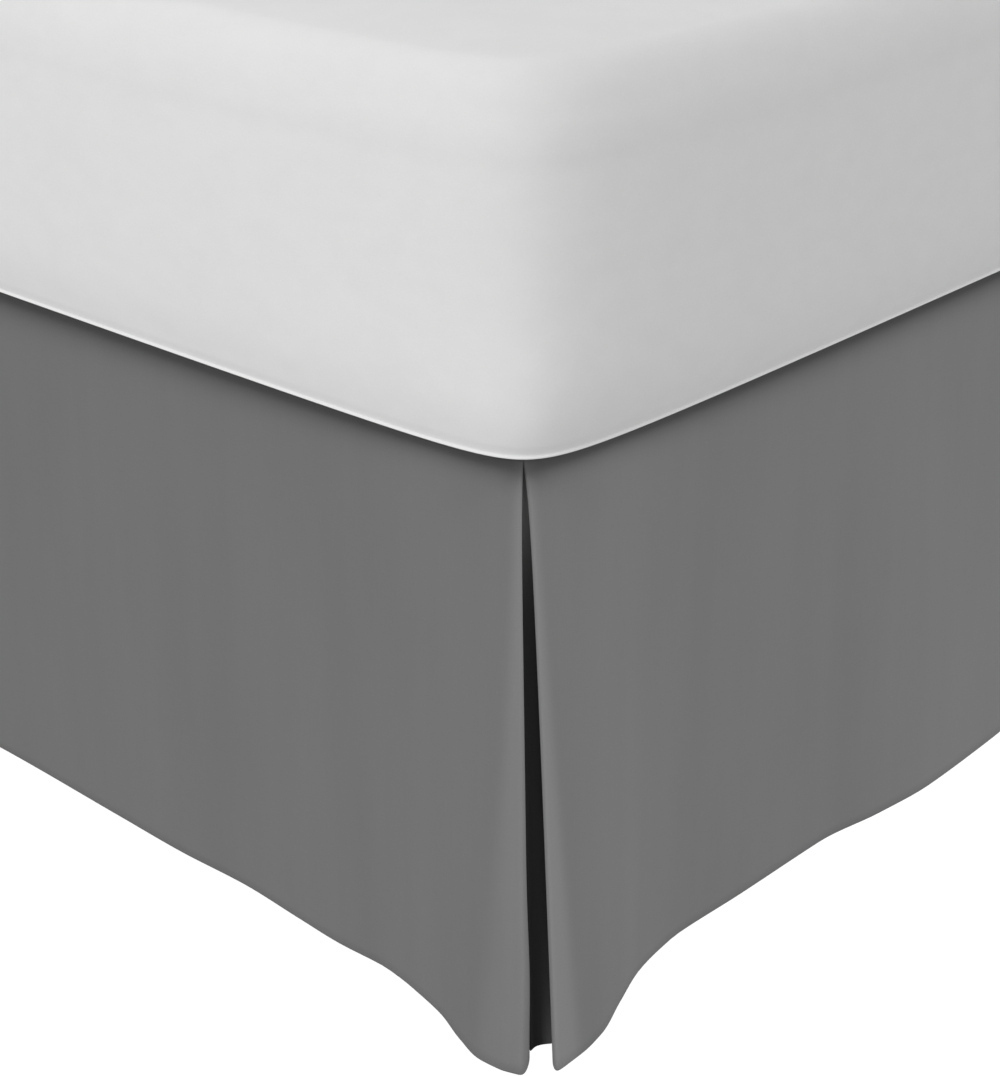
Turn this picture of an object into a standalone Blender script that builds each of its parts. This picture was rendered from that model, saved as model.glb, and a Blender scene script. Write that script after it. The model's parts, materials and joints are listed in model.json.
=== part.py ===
"""A tailored bed skirt on the mattress and bed base that it dresses.

The skirt is a flat deck cloth between base and mattress, with three drops sewn to its rim.
Each foot corner is an inverted pleat: both drops fold back at a slit, and an underlay closes
the slit from behind. The base stands on six legs, and the skirt is open at the head.

Metres, +Z up. X runs across the bed, and the foot of the bed faces -Y. The origin is on the
floor, under the middle of everything.
"""

import math

import bmesh
import bpy
import numpy as np

MM = 0.001

# The bed. The mattress planes are the faces of the box that the mattress fills.
WIDTH = 1.524
LENGTH = 2.032
DROP = 0.356  # floor to the underside of the mattress
MATTRESS_HEIGHT = 0.203
MATTRESS_SOFTNESS = 0.020  # its corner's distance in from each mattress plane
MATTRESS_TOP_RADIUS = 0.045
MATTRESS_CROWN = 0.005
MATTRESS_PIPING = (
    # inset from the mattress plane, height above the underside
    (0.0034, 0.0),
    (0.0026, -0.0016),
    (0.0014, -0.0022),
    (0.0003, -0.0012),
    (0.0, 0.002),
)
MATTRESS_SIDE = ((0.0, 0.080),)
BASE_INSET = 0.020  # base faces behind the mattress planes
BASE_CORNER_RADIUS = 0.050
BASE_EDGE_RADIUS = 0.006
LEG_LENGTH = 0.150
LEG_RADIUS = 0.026
LEG_INSET = 0.100  # leg axis in from the base faces

# The cloth.
SHEET = 1.2 * MM
SEAT = 0.3 * MM  # gap between two pieces that touch
CLEARANCE = 2.0 * MM  # hanging cloth to the base
FOLD_GAP = 2.0 * MM  # between a drop and its folded-back end, at the top
HEM_HEIGHT = 0.006  # hem above the floor
FLARE_POWER = 1.25  # how late, going down, the cloth leaves the plane of its top edge
UNDERLAY_OFFSET = BASE_INSET - CLEARANCE - SHEET / 2  # middle of the cloth, behind the planes
RETURN_OFFSET = UNDERLAY_OFFSET - SHEET - SEAT
DROP_OFFSET = RETURN_OFFSET - SHEET - FOLD_GAP
DECK_OFFSET = DROP_OFFSET - SHEET / 2
DROP_RADIUS = BASE_CORNER_RADIUS + BASE_INSET - DROP_OFFSET
UNDERLAY_RADIUS = BASE_CORNER_RADIUS + BASE_INSET - UNDERLAY_OFFSET
DECK_RADIUS = DROP_RADIUS + SHEET / 2
DECK_TOP = DROP - SEAT
BASE_TOP = DECK_TOP - SHEET - SEAT
BASE_BOTTOM = LEG_LENGTH + SEAT
CLOTH_TOP = DECK_TOP - SHEET - SEAT

# Where the hem lies, in millimetres. along runs from the corner of the mattress planes, away
# from the pleat, and out is outward from the drop's own mattress plane, to the outer face.
# Near the pleat, the foot drop:
FOOT_CORNER_HEM = (
    # along, out
    (-13.2, 17.0),
    (0, 21.7),
    (14, 22.8),
    (35, 17.0),
    (60, 6.9),
    (82, 1.4),
    (102, -2.6),
    (120, -4.5),
)
# Near the pleat, a side drop:
SIDE_CORNER_HEM = (
    # along, out
    (-1.5, 22.5),
    (18, 22.9),
    (39, 20.4),
    (71, 9.1),
    (104, -2.4),
    (128, -6.7),
)
# The shallow folds between, one row for each crest and hollow.
FOOT_FOLDS = (
    # along, out
    (153, -3.4),
    (190, -5.4),
    (247, -8.7),
    (302, -7.2),
    (364, -8.7),
    (497, -11.8),
    (610, -7.0),
    (735, -11.5),
    (860, -5.5),
    (975, -10.5),
    (1095, -6.5),
    (1225, -10.5),
    (1330, -6.0),
)
RIGHT_FOLDS = (
    # along, out
    (150, -8.8),
    (208, -6.8),
    (292, -5.4),
    (348, 3.2),
    (400, 7.8),
    (480, 5.6),
    (600, -5.0),
    (720, -8.0),
    (850, 1.5),
    (980, -7.0),
    (1130, -1.0),
    (1270, -8.5),
    (1420, 0.5),
    (1560, -7.5),
    (1700, -2.0),
    (1840, -8.0),
    (1960, -5.0),
)
LEFT_FOLDS = (
    # along, out
    (155, -8.5),
    (240, -4.0),
    (350, -8.5),
    (465, 2.0),
    (590, -7.0),
    (730, -2.0),
    (880, -8.5),
    (1010, 1.0),
    (1160, -7.5),
    (1300, -3.0),
    (1450, -8.0),
    (1590, 0.0),
    (1730, -7.0),
    (1860, -3.5),
    (1960, -6.0),
)
# The underlay's hem. across runs round the corner at the top edge, from the foot side to the
# long side, and x and y are from the corner of the mattress planes.
UNDERLAY_HEM = (
    # across, x, y
    (-76, -80.0, 12.5),
    (-40, -44.0, 9.8),
    (-9, -11.0, 6.4),
    (-4, -3.0, 5.2),
    (0, 0.8, 9.8),
    (4, 5.2, 15.0),
    (9, 7.4, 21.5),
    (16, 8.2, 30.0),
    (40, 2.6, 54.0),
    (76, -8.5, 88.0),
)

# How finely the cloth is divided, in millimetres round the corner and along the drop.
UNDERLAY_COLUMNS = np.array((-76, -58, -40, -26, -16, -9, -4, 0, 4, 9, 16, 26, 40, 58, 76)) * MM
CORNER_COLUMNS = np.array((2.5, 6, 11, 18, 27, 38, 50, 63, 78, 95, 114, 134)) * MM
FINE_END = 0.50  # the fine columns end this far from the pleat
FINE_COLUMN = 0.017
COARSE_COLUMN = 0.034
FOLD_STEPS = 7  # round the folded edge
ROWS = 5
LEAN_REACH = 0.120  # how far from the pleat the drop's threads lean with it
OPENING_FOOT = 1.1 * MM  # how far the slit draws the foot drop back from it, at the hem
OPENING_SIDE = 3.0 * MM  # and a side drop
OPENING_REACH = 0.030
OPENING_POWER = 2.5  # how soon, going down, the slit opens
FOLD_HANDLE_TOP = 2.1 * MM  # how round the folded edge is
FOLD_HANDLE_HEM = 4.6 * MM

# Colours: linear red, green and blue, roughness, metallic.
SKIRT_GREY = (0.165, 0.165, 0.165, 0.9, 0.0)
UNDERLAY_GREY = (0.10, 0.10, 0.10, 0.9, 0.0)
MATTRESS_WHITE = (0.72, 0.72, 0.72, 0.75, 0.0)
BASE_CREAM = (0.46, 0.44, 0.40, 0.85, 0.0)
LEG_WOOD = (0.09, 0.05, 0.03, 0.55, 0.0)


# Scene and materials


def clear_scene():
    for thing in list(bpy.data.objects):
        bpy.data.objects.remove(thing, do_unlink=True)


def new_material(name, look):
    red, green, blue, roughness, metallic = look
    material = bpy.data.materials.new(name)
    material.use_nodes = True
    shader = material.node_tree.nodes["Principled BSDF"]
    shader.inputs["Base Color"].default_value = (red, green, blue, 1.0)
    shader.inputs["Roughness"].default_value = roughness
    shader.inputs["Metallic"].default_value = metallic
    return material


def add_object(name, data, look, parts, bed):
    """Links the object under the bed's empty, with a material of its own."""
    part = bpy.data.objects.new(name, data)
    part.data.materials.append(new_material(name, look))
    part.parent = bed
    parts.objects.link(part)
    return part


# Plan lines of the cloth. Each is an array of x, y in the frame of the right foot corner:
# the origin is where the mattress planes meet, the long side faces +X and the foot faces -Y.


def smooth_curve(rows, column, at):
    """A cubic through the rows' first and given columns, level at each crest and hollow."""
    table = np.array(rows, float)
    x, y = table[:, 0], table[:, column]
    slope = np.diff(y) / np.diff(x)
    before, after = slope[:-1], slope[1:]
    same_way = before * after > 0
    total = np.where(same_way, before + after, 1.0)
    inner = np.where(same_way, 2 * before * after / total, 0.0)
    tangent = np.concatenate([slope[:1], inner, slope[-1:]])
    i = np.clip(np.searchsorted(x, at) - 1, 0, len(x) - 2)
    step = x[i + 1] - x[i]
    t = (at - x[i]) / step
    start = (1 + 2 * t) * (1 - t) ** 2 * y[i] + t * (1 - t) ** 2 * step * tangent[i]
    end = t**2 * (3 - 2 * t) * y[i + 1] - t**2 * (1 - t) * step * tangent[i + 1]
    return start + end


def rounded_line(across, offset, radius):
    """Along and out of a line round a corner, where across is its length from the diagonal."""
    turn = np.maximum(math.pi / 4 - across / radius, 0.0)
    straight = np.maximum(across - radius * math.pi / 4, 0.0)
    along = offset + radius * (1 - np.sin(turn)) + straight
    out = -offset - radius * (1 - np.cos(turn))
    return along, out


def lean(across, hem_start):
    """Where a drop's threads reach the hem: near the pleat they lean towards it."""
    straight_along = across + DROP_OFFSET + DROP_RADIUS * (1 - math.pi / 4)
    first = CORNER_COLUMNS[0]
    shift = first + DROP_OFFSET + DROP_RADIUS * (1 - math.pi / 4) - hem_start
    return straight_along - shift * np.exp(-(across - first) / LEAN_REACH)


def hem_out(rows, along):
    """Out of the middle of the cloth at the hem."""
    return smooth_curve(rows, 1, along / MM) * MM - SHEET / 2


def flare(down):
    """Share of the way from the top edge's line to the hem's, at this share of the drop."""
    return down**FLARE_POWER


def drawn_back(across, amount, down):
    """How far the slit draws back a column of a drop, along each of X and Y."""
    share = 1 - (1 - down) ** OPENING_POWER
    return amount * share * np.exp(-across / OPENING_REACH) / math.sqrt(2)


def columns_to(end):
    """Column places from one pleat: close near it, and wider past the fine stretch."""
    fine = np.arange(CORNER_COLUMNS[-1] + FINE_COLUMN, FINE_END, FINE_COLUMN)
    count = max(round((end - fine[-1]) / COARSE_COLUMN), 1)
    coarse = np.linspace(fine[-1], end, count + 1)[1:]
    return np.concatenate([CORNER_COLUMNS, fine, coarse])


def side_line(folds, across, down):
    """The face of a long side's drop, from the pleat to the head."""
    rows = SIDE_CORNER_HEM + folds
    top_along, top_out = rounded_line(across, DROP_OFFSET, DROP_RADIUS)
    hem_along = lean(across, SIDE_CORNER_HEM[0][0] * MM)
    top = np.column_stack([top_out, top_along])
    hem = np.column_stack([hem_out(rows, hem_along), hem_along])
    back = drawn_back(across, OPENING_SIDE, down)
    return top + (hem - top) * flare(down) + np.column_stack([back, back])


def foot_rows():
    """The foot hem's rows from the right corner to the left one, which mirrors it."""
    width = WIDTH / MM
    far = tuple((width - along, out) for along, out in reversed(FOOT_CORNER_HEM))
    return FOOT_CORNER_HEM + FOOT_FOLDS + far


def foot_length():
    """The foot drop's top edge, from diagonal to diagonal."""
    arc = DROP_RADIUS * math.pi / 4
    return 2 * arc + WIDTH - 2 * (DROP_OFFSET + DROP_RADIUS)


def foot_line(across, down):
    """The face of the foot drop, from the right pleat to the left one."""
    length = foot_length()
    right = across <= length / 2
    near = np.where(right, across, length - across)
    top_along, top_out = rounded_line(near, DROP_OFFSET, DROP_RADIUS)
    hem_along = lean(near, FOOT_CORNER_HEM[0][0] * MM)
    top_along = np.where(right, top_along, WIDTH - top_along)
    hem_along = np.where(right, hem_along, WIDTH - hem_along)
    top = np.column_stack([-top_along, -top_out])
    hem = np.column_stack([-hem_along, -hem_out(foot_rows(), hem_along)])
    back = drawn_back(near, OPENING_FOOT, down)
    return top + (hem - top) * flare(down) + np.column_stack([np.where(right, -back, back), -back])


def underlay_line(down):
    """The underlay round the corner, from its foot side to its long side."""
    across = UNDERLAY_COLUMNS
    along, out = rounded_line(np.abs(across), UNDERLAY_OFFSET, UNDERLAY_RADIUS)
    foot_side = across < 0
    top = np.column_stack([np.where(foot_side, -along, out), np.where(foot_side, -out, along)])
    hem_x = smooth_curve(UNDERLAY_HEM, 1, across / MM) * MM
    hem_y = smooth_curve(UNDERLAY_HEM, 2, across / MM) * MM
    return top + (np.column_stack([hem_x, hem_y]) - top) * flare(down)


def unit(vector):
    return vector / np.linalg.norm(vector)


def returns_lines(down):
    """Both drops' folded-back ends where they lie on the underlay's front, sewn edge first."""
    line = underlay_line(down)
    run = np.gradient(line, axis=0)
    outward = np.column_stack([run[:, 1], -run[:, 0]])
    outward /= np.linalg.norm(outward, axis=1)[:, None]
    front = line + outward * (SHEET + SEAT)
    middle = len(line) // 2
    from_slit = np.abs(UNDERLAY_COLUMNS)[:, None]
    foot = front - drawn_back(from_slit, OPENING_FOOT, down)
    side = front + drawn_back(from_slit, OPENING_SIDE, down)
    return foot[:middle], side[:middle:-1]


def folded_edge(flat, face, down):
    """A Bezier curve from the folded-back end round to the start of the face."""
    handle = FOLD_HANDLE_TOP + (FOLD_HANDLE_HEM - FOLD_HANDLE_TOP) * down
    start, end = flat[-1], face[0]
    pull_start = start + handle * unit(flat[-1] - flat[-2])
    pull_end = end - handle * unit(face[1] - face[0])
    t = (1 - np.cos(np.pi * np.arange(1, FOLD_STEPS) / FOLD_STEPS)) / 2
    t = t[:, None]
    near = (1 - t) ** 3 * start + 3 * t * (1 - t) ** 2 * pull_start
    return near + 3 * t**2 * (1 - t) * pull_end + t**3 * end


def folded_back(flat, face, down):
    """The flat end, the folded edge and the face as one line."""
    return np.concatenate([flat, folded_edge(flat, face, down), face])


def mirrored(line):
    """The same line at the left foot corner, in the right corner's frame."""
    return line * (-1, 1) - (WIDTH, 0)


# Solids


def cloth_grid(name, line_at, look, parts, bed):
    """A hanging cloth: a grid that follows a plan line at each height, made thick."""
    downs = np.linspace(0.0, 1.0, ROWS + 1)
    lines = [line_at(down) for down in downs]
    mesh = bpy.data.meshes.new(name)
    form = bmesh.new()
    bmesh.ops.create_grid(form, x_segments=len(lines[0]) - 1, y_segments=ROWS, size=1.0)
    form.verts.ensure_lookup_table()
    places = iter(form.verts)
    for down, line in zip(downs, lines):
        height = CLOTH_TOP + (HEM_HEIGHT - CLOTH_TOP) * down
        for x, y in line:
            next(places).co = (x, y, height)
    bmesh.ops.recalc_face_normals(form, faces=form.faces)
    form.to_mesh(mesh)
    form.free()
    mesh.shade_smooth()
    cloth = add_object(name, mesh, look, parts, bed)
    cloth.location = (WIDTH / 2, -LENGTH / 2, 0)
    thicken = cloth.modifiers.new("Thickness", "SOLIDIFY")
    thicken.thickness = SHEET
    thicken.offset = 0.0
    thicken.use_even_offset = True
    return cloth


def build_foot_drop(parts, bed):
    half = columns_to(foot_length() / 2)
    across = np.concatenate([half, foot_length() - half[-2::-1]])

    def line_at(down):
        face = foot_line(across, down)
        flat = returns_lines(down)[0]
        right = folded_back(flat, face, down)
        left_end = np.concatenate([mirrored(flat), folded_edge(mirrored(flat), face[::-1], down)])
        return np.concatenate([right, left_end[::-1]])

    cloth_grid("drop_foot", line_at, SKIRT_GREY, parts, bed)


def side_drop_line(folds, mirror):
    end = LENGTH - BASE_INSET - DECK_RADIUS - DROP_OFFSET - DROP_RADIUS * (1 - math.pi / 4)
    across = columns_to(end)

    def line_at(down):
        line = folded_back(returns_lines(down)[1], side_line(folds, across, down), down)
        return mirrored(line) if mirror else line

    return line_at


def build_side_drops(parts, bed):
    cloth_grid("drop_right", side_drop_line(RIGHT_FOLDS, False), SKIRT_GREY, parts, bed)
    cloth_grid("drop_left", side_drop_line(LEFT_FOLDS, True), SKIRT_GREY, parts, bed)


def build_underlays(parts, bed):
    cloth_grid("pleat_underlay_right", underlay_line, UNDERLAY_GREY, parts, bed)
    cloth_grid(
        "pleat_underlay_left",
        lambda down: mirrored(underlay_line(down))[::-1],
        UNDERLAY_GREY,
        parts,
        bed,
    )


def rounded_outline(curve, foot, side, head, radius):
    """Adds a closed rectangle with round corners, given its offsets behind the mattress planes."""
    kappa = 0.5523  # handle length of a quarter circle, in radii
    beyond = 0.3  # handle on the straight side, in radii
    right, front, back = WIDTH / 2 - side, LENGTH / 2 - foot, LENGTH / 2 - head
    corners = ((right, -front), (right, back), (-right, back), (-right, -front))
    spline = curve.splines.new("BEZIER")
    spline.bezier_points.add(2 * len(corners) - 1)
    spline.use_cyclic_u = True
    points = iter(spline.bezier_points)
    for i, (x, y) in enumerate(corners):
        corner = np.array((x, y, 0.0))
        towards = [unit(np.array((*corners[j], 0.0)) - corner) for j in (i - 1, (i + 1) % 4)]
        for arc_starts, direction in zip((True, False), towards):
            point = next(points)
            point.co = corner + direction * radius
            curved = corner + direction * radius * (1 - kappa)
            straight = corner + direction * radius * (1 + beyond)
            point.handle_left = straight if arc_starts else curved
            point.handle_right = curved if arc_starts else straight


def build_deck(parts, bed):
    outline = bpy.data.curves.new("skirt_deck", "CURVE")
    outline.dimensions = "2D"
    outline.fill_mode = "BOTH"
    outline.extrude = SHEET / 2
    outline.resolution_u = 8
    rounded_outline(outline, DECK_OFFSET, DECK_OFFSET, BASE_INSET, DECK_RADIUS)
    deck = add_object("skirt_deck", outline, SKIRT_GREY, parts, bed)
    deck.location.z = DECK_TOP - SHEET / 2


def build_base(parts, bed):
    """The box base: a block with round upright corners and eased edges."""
    size = (WIDTH - 2 * BASE_INSET, LENGTH - 2 * BASE_INSET, BASE_TOP - BASE_BOTTOM)
    mesh = bpy.data.meshes.new("bed_base")
    form = bmesh.new()
    bmesh.ops.create_cube(form, size=1.0)
    bmesh.ops.scale(form, vec=size, verts=form.verts)
    upright = [e for e in form.edges if abs(e.verts[0].co.z - e.verts[1].co.z) > size[2] / 2]
    bmesh.ops.bevel(
        form, geom=upright, offset=BASE_CORNER_RADIUS, segments=8, profile=0.5, affect="EDGES"
    )
    form.to_mesh(mesh)
    form.free()
    mesh.shade_smooth()
    base = add_object("bed_base", mesh, BASE_CREAM, parts, bed)
    base.location.z = (BASE_TOP + BASE_BOTTOM) / 2
    ease = base.modifiers.new("Eased edges", "BEVEL")
    ease.width = BASE_EDGE_RADIUS
    ease.segments = 2
    ease.limit_method = "ANGLE"
    ease.angle_limit = math.radians(60)


def build_legs(parts, bed):
    reach_x = WIDTH / 2 - BASE_INSET - LEG_INSET
    reach_y = LENGTH / 2 - BASE_INSET - LEG_INSET
    mesh = bpy.data.meshes.new("leg")
    form = bmesh.new()
    bmesh.ops.create_cone(
        form,
        cap_ends=True,
        segments=20,
        radius1=LEG_RADIUS,
        radius2=LEG_RADIUS,
        depth=LEG_LENGTH,
    )
    form.to_mesh(mesh)
    form.free()
    number = 0
    for y in (-reach_y, 0.0, reach_y):
        for x in (reach_x, -reach_x):
            number += 1
            leg = add_object(f"leg_{number}", mesh.copy(), LEG_WOOD, parts, bed)
            leg.location = (x, y, LEG_LENGTH / 2)


def mattress_ring(inset, height):
    """One level of the mattress: a rectangle whose corners are hyperbolas, softly square."""
    soft = MATTRESS_SOFTNESS
    half_x, half_y = WIDTH / 2 - inset, LENGTH / 2 - inset
    steps = soft * np.array((17, 8.5, 4.2, 2.4, 1.5, 1.0))
    from_side = np.concatenate([[half_y], steps])
    to_foot = steps[-2::-1]
    x = np.concatenate([half_x - soft**2 / from_side, half_x - to_foot])
    y = np.concatenate([half_y - from_side, half_y - soft**2 / to_foot])
    quarter = np.column_stack([x, y])
    top = np.array([[0.0, half_y - soft**2 / half_x]])
    right = quarter[:0:-1] * (1, -1)
    upper = np.concatenate([right, quarter, top])
    ring = np.concatenate([upper, upper[-2::-1] * (-1, 1)])
    bottom = top * (1, -1)
    ring = np.concatenate([bottom, ring])
    return np.column_stack([ring, np.full(len(ring), height)])


def mattress_profile():
    """Inset and height of each ring, from the flat underside up to the flat top."""
    radius = MATTRESS_TOP_RADIUS
    shoulder = MATTRESS_HEIGHT - MATTRESS_CROWN - radius
    arc = tuple(
        (radius * (1 - math.cos(turn)), shoulder + radius * math.sin(turn))
        for turn in np.radians((0, 18, 36, 54, 72, 90))
    )
    crown = ((0.110, MATTRESS_HEIGHT - 0.4 * MATTRESS_CROWN), (0.200, MATTRESS_HEIGHT))
    return MATTRESS_PIPING + MATTRESS_SIDE + arc + crown


def build_mattress(parts, bed):
    """One filled solid, lofted through its rings and closed flat below and above."""
    rings = [mattress_ring(inset, height) for inset, height in mattress_profile()]
    size = len(rings[0])
    faces = [tuple(range(size))[::-1]]
    for level in range(len(rings) - 1):
        low, high = level * size, (level + 1) * size
        for i in range(size):
            j = (i + 1) % size
            faces.append((low + i, low + j, high + j, high + i))
    last = (len(rings) - 1) * size
    faces.append(tuple(range(last, last + size)))
    mesh = bpy.data.meshes.new("mattress")
    mesh.from_pydata(np.concatenate(rings).tolist(), [], faces)
    mesh.shade_smooth()
    mattress = add_object("mattress", mesh, MATTRESS_WHITE, parts, bed)
    mattress.location.z = DROP


def main():
    clear_scene()
    parts = bpy.data.collections.new("bed_skirt")
    bpy.context.scene.collection.children.link(parts)
    bed = bpy.data.objects.new("bed", None)
    parts.objects.link(bed)
    # The pleats reach past the mattress plane at the foot, and at the head the mattress bows.
    foot_reach = max(out for _, out in FOOT_CORNER_HEM) * MM
    head_bow = MATTRESS_SOFTNESS**2 / (WIDTH / 2)
    bed.location.y = (foot_reach + head_bow) / 2
    build_deck(parts, bed)
    build_foot_drop(parts, bed)
    build_side_drops(parts, bed)
    build_underlays(parts, bed)
    build_base(parts, bed)
    build_legs(parts, bed)
    build_mattress(parts, bed)


main()
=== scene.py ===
"""Dresses a tailored bed skirt and the bed that it hangs on.

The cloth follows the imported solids' folds: a deck under the mattress, three drops that are
folded back at the two foot corners, and an underlay behind each slit. Metres, +Z up. X runs
across the bed, and the foot of the bed faces -Y.
"""

import json
import math

import bmesh
import bpy
import numpy as np
from bpy.props import FloatProperty, FloatVectorProperty, PointerProperty
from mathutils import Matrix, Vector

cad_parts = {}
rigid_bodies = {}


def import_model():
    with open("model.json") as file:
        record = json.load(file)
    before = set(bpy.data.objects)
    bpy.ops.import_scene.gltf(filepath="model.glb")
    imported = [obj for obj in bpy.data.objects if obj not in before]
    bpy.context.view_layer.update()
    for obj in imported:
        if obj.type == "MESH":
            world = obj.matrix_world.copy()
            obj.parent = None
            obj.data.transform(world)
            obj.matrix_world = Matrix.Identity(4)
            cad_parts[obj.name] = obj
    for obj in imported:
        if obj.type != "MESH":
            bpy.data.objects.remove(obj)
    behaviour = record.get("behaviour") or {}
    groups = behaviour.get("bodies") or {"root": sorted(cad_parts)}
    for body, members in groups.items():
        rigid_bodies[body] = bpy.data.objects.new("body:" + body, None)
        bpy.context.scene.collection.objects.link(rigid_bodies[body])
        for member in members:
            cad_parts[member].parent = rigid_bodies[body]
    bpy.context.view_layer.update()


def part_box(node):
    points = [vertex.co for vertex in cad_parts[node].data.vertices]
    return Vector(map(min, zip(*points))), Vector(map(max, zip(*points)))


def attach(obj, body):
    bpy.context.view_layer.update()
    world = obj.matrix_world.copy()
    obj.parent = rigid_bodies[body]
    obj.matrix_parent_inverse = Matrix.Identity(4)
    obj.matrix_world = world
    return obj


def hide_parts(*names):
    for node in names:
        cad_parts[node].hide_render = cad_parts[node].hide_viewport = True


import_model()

bl_info = {
    "name": "Bed Skirt",
    "version": (1, 0, 0),
    "blender": (4, 5, 0),
    "location": "View3D > Sidebar > Bed Skirt",
    "description": "Dresses a tailored bed skirt, its mattress and its bed base",
    "category": "Object",
}

MM = 0.001
CLOTH_MAP = "Cloth"
# The attribute that carries the painted light and shade on the skirt's cloth and the underlays.
PAINTED_LIGHT_ATTRIBUTE = "Fold shade"

# The bed, between the planes that the mattress fills.
WIDTH = 1.524
LENGTH = 2.032
DROP = 0.356
SHIFT_Y = 0.01166  # the bed's middle, towards the head
MATTRESS_HEIGHT = 0.203
MATTRESS_SOFTNESS = 0.020  # of its corners at the lower edge
UPPER_SOFTNESS = 0.034  # and above the tuck
UPPER_REACH = 0.060  # how far up its corners go from one to the other
MATTRESS_TOP_ROUND = 0.028  # how far in its top edge is rounded
MATTRESS_TOP_RISE = 0.050  # and how far down
MATTRESS_CROWN = 0.006
CROWN_REACH = 0.076  # share of the half width over which the top rises to its full height
SIDE_TUCK = 0.004
TUCK_REACH = 0.020
TUCK_POWER = 1.5
SIDE_BULGE = 0.004
UNDERSIDE_INSET = 0.010  # its flat underside lies in this far from the planes
BEAD_TURN = (-80, 75)  # the part of a circle, in degrees, that the bead shows
BEAD_OUT = 0.0001  # how far the bead stands out of the planes
BEAD_FALL = 0.0006  # how far its middle lies under the mattress's lower face
BEAD_NECK = ((0.0006, 0.0009), (0.0004, 0.0020))  # inset and height of the rows above it
SIDE_START = (0.0045, 0.0075)  # the heights of the side's first two rows
BEAD_HIGHLIGHT_HEIGHTS = (-0.0002, 0.0012)  # the heights over which the bead's painted highlight fades
BASE_INSET = 0.020
BASE_CORNER_RADIUS = 0.050
BASE_SIDE = 0.0012  # how far its sides lie in from the welts
WELT_RADIUS = 0.0040
WELT_MARGIN = 0.011  # from its top and bottom to where the flat of a side starts
FACE_MARGIN = 0.006  # from its sides to where its flat top and bottom start
LEG_LENGTH = 0.150
LEG_TOP = LEG_LENGTH - 0.0003
LEG_PROFILE = (  # radius, height
    (0.0, 0.0), (0.0150, 0.0), (0.0158, 0.0006), (0.0160, 0.0030), (0.0225, 0.0032),
    (0.0236, 0.0038), (0.0243, 0.0052), (0.0250, 0.020), (0.0256, 0.060), (0.0258, 0.110),
    (0.0259, 0.142), (0.0256, 0.1466), (0.0246, 0.1488), (0.0230, LEG_TOP), (0.0, LEG_TOP),
)
LEG_SIDES = 48
MIDDLE_OUT = (0.0, 0.5, 0.9, 1.0)  # the rings of a flat bottom, as shares of its outline
MERGE = 1e-6  # points closer than this are one

# The solids of the cloth, whose middle surfaces the sheets follow.
SOLID_SHEET = 1.2 * MM
SEAT = 0.3 * MM  # between two solids that rest on each other
HEM_HEIGHT = 0.006
FLARE_POWER = 1.25
BASE_ROOM = 2.6 * MM  # from the base's side to the middle of an underlay
FOLD_ROOM = 2.0 * MM  # between a drop's face and its folded-back end
UNDERLAY_OFFSET = BASE_INSET - BASE_ROOM
DROP_OFFSET = UNDERLAY_OFFSET - 2 * SOLID_SHEET - SEAT - FOLD_ROOM
DECK_OFFSET = DROP_OFFSET - SOLID_SHEET / 2
DROP_RADIUS = 0.046  # of the top edge at a foot corner
UNDERLAY_RADIUS = BASE_CORNER_RADIUS + BASE_INSET - UNDERLAY_OFFSET
DECK_RADIUS = DROP_RADIUS + SOLID_SHEET / 2
HEAD_STOP = 0.0779  # a side drop ends this far from the mattress's head end
DECK_MIDDLE = DROP - SEAT - SOLID_SHEET / 2
BASE_TOP = DROP - 2 * SEAT - SOLID_SHEET
BASE_BOTTOM = LEG_LENGTH + SEAT
CLOTH_TOP = BASE_TOP
DECK_SHARE = 0.9  # the deck cloth's thickness, as a share of its solid's
HEM_TURN = 0.7  # the radius of a hem's fold, as a share of the cloth's thickness
UNDERLAY_HEM_SHARE = 0.4  # an underlay's hem depth, as a share of a drop's
DECK_RINGS = 20

# Where the hem lies, in millimetres. along runs from the corner of the mattress planes, away
# from the pleat, and out is outward from the drop's own plane, to the cloth's outer face.
FOOT_CORNER_HEM = (  # along, out
    (-13.2, 17.0), (0, 21.7), (14, 22.8), (35, 17.0), (60, 6.9), (82, 1.4), (102, -2.6),
    (120, -4.5),
)
SIDE_CORNER_HEM = (  # along, out
    (-1.5, 22.5), (18, 22.9), (39, 20.4), (71, 9.1), (104, -2.4), (128, -6.7),
)
# The shallow folds between, one row for each crest and hollow.
FOOT_FOLDS = (  # along, out
    (153, -3.4), (190, -5.4), (247, -8.7), (302, -7.2), (364, -8.7), (497, -11.8), (610, -7.0),
    (735, -11.5), (860, -5.5), (975, -10.5), (1095, -6.5), (1225, -10.5), (1330, -6.0),
)
RIGHT_FOLDS = (  # along, out
    (150, -8.8), (208, -6.8), (292, -5.4), (348, 3.2), (400, 7.8), (480, 5.6), (600, -5.0),
    (720, -8.0), (850, 1.5), (980, -7.0), (1130, -1.0), (1270, -8.5), (1420, 0.5),
    (1560, -7.5), (1700, -2.0), (1840, -8.0), (1960, -5.0),
)
LEFT_FOLDS = (  # along, out
    (155, -8.5), (240, -4.0), (350, -8.5), (465, 2.0), (590, -7.0), (730, -2.0), (880, -8.5),
    (1010, 1.0), (1160, -7.5), (1300, -3.0), (1450, -8.0), (1590, 0.0), (1730, -7.0),
    (1860, -3.5), (1960, -6.0),
)
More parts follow.
